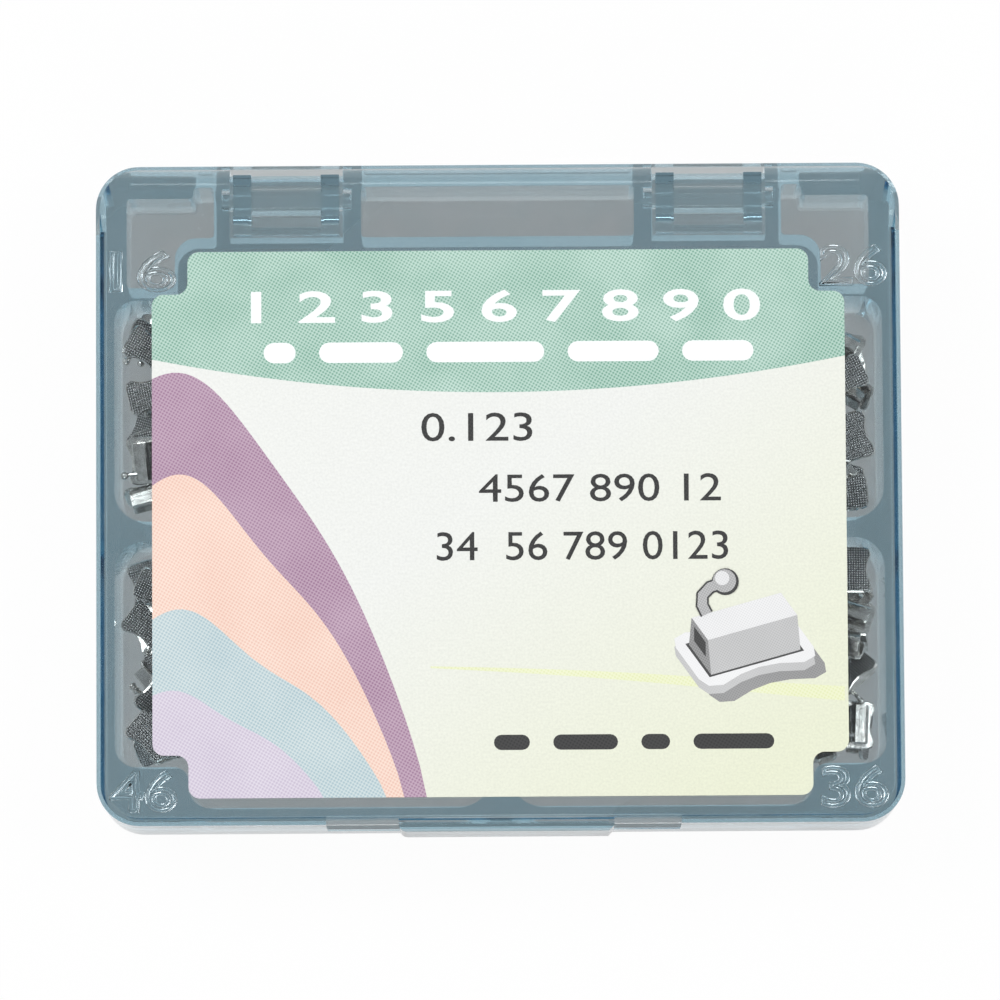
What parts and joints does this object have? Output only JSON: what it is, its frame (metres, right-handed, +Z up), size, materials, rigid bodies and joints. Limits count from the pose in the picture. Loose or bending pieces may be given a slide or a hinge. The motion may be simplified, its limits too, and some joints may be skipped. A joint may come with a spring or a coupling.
{
  "type": "hinged compartment case",
  "caption": "Flat clear plastic case with a hinged lid, a front latch, a printed card on the lid and compartments that hold small bondable molar tubes.",
  "frame": {"origin": "centre of the flat underside of the tray", "axes": "+X along the long side, +Y to the hinge, +Z up through the lid"},
  "size_m": [0.09, 0.0748, 0.016],
  "materials": {
    "case_plastic": "clear tinted, polished",
    "label_card": "coated card",
    "tube_steel": "polished with a mesh base"
  },
  "bodies": {
    "case": {"base_tray": "case_plastic", "molar_tube_16_01": "tube_steel", "molar_tube_16_02": "tube_steel", "molar_tube_16_03": "tube_steel", "molar_tube_16_04": "tube_steel", "molar_tube_16_05": "tube_steel", "molar_tube_16_06": "tube_steel", "molar_tube_16_07": "tube_steel", "molar_tube_16_08": "tube_steel", "molar_tube_16_09": "tube_steel", "molar_tube_16_10": "tube_steel", "molar_tube_16_11": "tube_steel", "molar_tube_16_12": "tube_steel", "molar_tube_26_01": "tube_steel", "molar_tube_26_02": "tube_steel", "molar_tube_26_03": "tube_steel", "molar_tube_26_04": "tube_steel", "molar_tube_26_05": "tube_steel", "molar_tube_26_06": "tube_steel", "molar_tube_26_07": "tube_steel", "molar_tube_26_08": "tube_steel", "molar_tube_26_09": "tube_steel", "molar_tube_26_10": "tube_steel", "molar_tube_26_11": "tube_steel", "molar_tube_26_12": "tube_steel", "molar_tube_36_01": "tube_steel", "molar_tube_36_02": "tube_steel", "molar_tube_36_03": "tube_steel", "molar_tube_36_04": "tube_steel", "molar_tube_36_05": "tube_steel", "molar_tube_36_06": "tube_steel", "molar_tube_36_07": "tube_steel", "molar_tube_36_08": "tube_steel", "molar_tube_36_09": "tube_steel", "molar_tube_36_10": "tube_steel", "molar_tube_36_11": "tube_steel", "molar_tube_36_12": "tube_steel", "molar_tube_46_01": "tube_steel", "molar_tube_46_02": "tube_steel", "molar_tube_46_03": "tube_steel", "molar_tube_46_04": "tube_steel", "molar_tube_46_05": "tube_steel", "molar_tube_46_06": "tube_steel", "molar_tube_46_07": "tube_steel", "molar_tube_46_08": "tube_steel", "molar_tube_46_09": "tube_steel", "molar_tube_46_10": "tube_steel", "molar_tube_46_11": "tube_steel", "molar_tube_46_12": "tube_steel"},
    "cover": {"lid": "case_plastic", "label": "label_card"}
  },
  "joints": [
    {"name": "lid_hinge", "type": "hinge", "parent": "case", "child": "cover", "pos_m": [0, 0.0335, 0.0105], "axis": [-1, 0, 0], "range_deg": [0, 95]}
  ]
}
